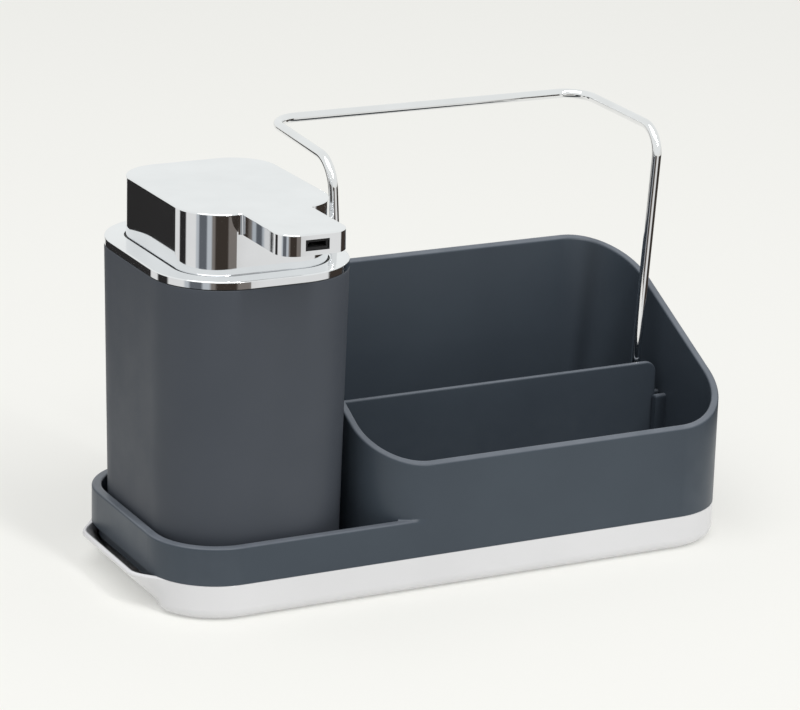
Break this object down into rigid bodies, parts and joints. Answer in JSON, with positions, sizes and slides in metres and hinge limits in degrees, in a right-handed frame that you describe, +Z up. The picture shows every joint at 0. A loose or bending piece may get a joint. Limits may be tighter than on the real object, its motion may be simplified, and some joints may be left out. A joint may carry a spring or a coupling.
{
  "type": "sink caddy with soap dispenser",
  "caption": "Sink caddy with a press-head soap dispenser in a shallow well, a sponge bin with a sloping rim and divider, a wire cloth rail and a drip tray with a pouring lip.",
  "frame": {"origin": "on the bench, under the middle of the body, in the plane of the drip tray's underside", "axes": "+X along the caddy, from the soap dispenser to the bin's far end; +Y from the spout's side to the high back wall; +Z up"},
  "size_m": [0.2569, 0.1507, 0.1635],
  "materials": {
    "white_plastic": "glossy white moulding",
    "grey_plastic": "satin blue-grey moulding",
    "bottle_plastic": "matte grey moulding",
    "chromed_trim": "bright chrome plating",
    "chromed_wire": "bright chrome plating on steel wire",
    "black_plastic": "black moulding",
    "pump_plastic": "natural moulding",
    "soft_rubber": "soft seal",
    "bare_steel": "bare stainless steel"
  },
  "bodies": {
    "tray": {"drip_tray": "white_plastic"},
    "caddy": {"caddy_body": "grey_plastic", "body_skirt": "grey_plastic"},
    "divider": {"divider_plate": "grey_plastic"},
    "rail": {"cloth_rail": "chromed_wire"},
    "dispenser": {"bottle": "bottle_plastic"},
    "pump": {"mouth_gasket": "soft_rubber", "pump_carrier": "pump_plastic", "collar_ring": "chromed_trim", "pump_housing": "pump_plastic", "housing_gasket": "soft_rubber", "pump_nut": "pump_plastic", "stem_guide": "pump_plastic", "return_spring": "bare_steel", "ball_cage": "pump_plastic", "dip_tube": "pump_plastic"},
    "head": {"press_head": "chromed_trim", "head_core": "pump_plastic", "nozzle_insert": "black_plastic", "piston_stem": "pump_plastic", "piston_seal": "soft_rubber"},
    "inlet_valve": {"inlet_ball": "bare_steel"},
    "outlet_valve": {"outlet_ball": "bare_steel"}
  },
  "joints": [
    {"name": "caddy_lift", "type": "slide", "parent": "tray", "child": "caddy", "axis": [0, 0, 1], "range_m": [0, 0.06]},
    {"name": "divider_lift", "type": "slide", "parent": "caddy", "child": "divider", "axis": [0, 0, 1], "range_m": [0, 0.05]},
    {"name": "rail_lift", "type": "slide", "parent": "caddy", "child": "rail", "axis": [0, 0, 1], "range_m": [0, 0.03]},
    {"name": "bottle_lift", "type": "slide", "parent": "caddy", "child": "dispenser", "axis": [0, 0, 1], "range_m": [0, 0.06]},
    {"name": "pump_lift", "type": "slide", "parent": "dispenser", "child": "pump", "axis": [0, 0, 1], "range_m": [0, 0.115]},
    {"name": "head_press", "type": "slide", "parent": "pump", "child": "head", "axis": [0, 0, -1], "range_m": [0, 0.012], "stiffness_N_per_m": 600, "springref_m": -0.004, "deforming": ["return_spring"]},
    {"name": "inlet_lift", "type": "slide", "parent": "pump", "child": "inlet_valve", "axis": [0, 0, 1], "range_m": [0, 0.0012]},
    {"name": "outlet_lift", "type": "slide", "parent": "head", "child": "outlet_valve", "axis": [0, 0, 1], "range_m": [0, 0.0015]}
  ]
}
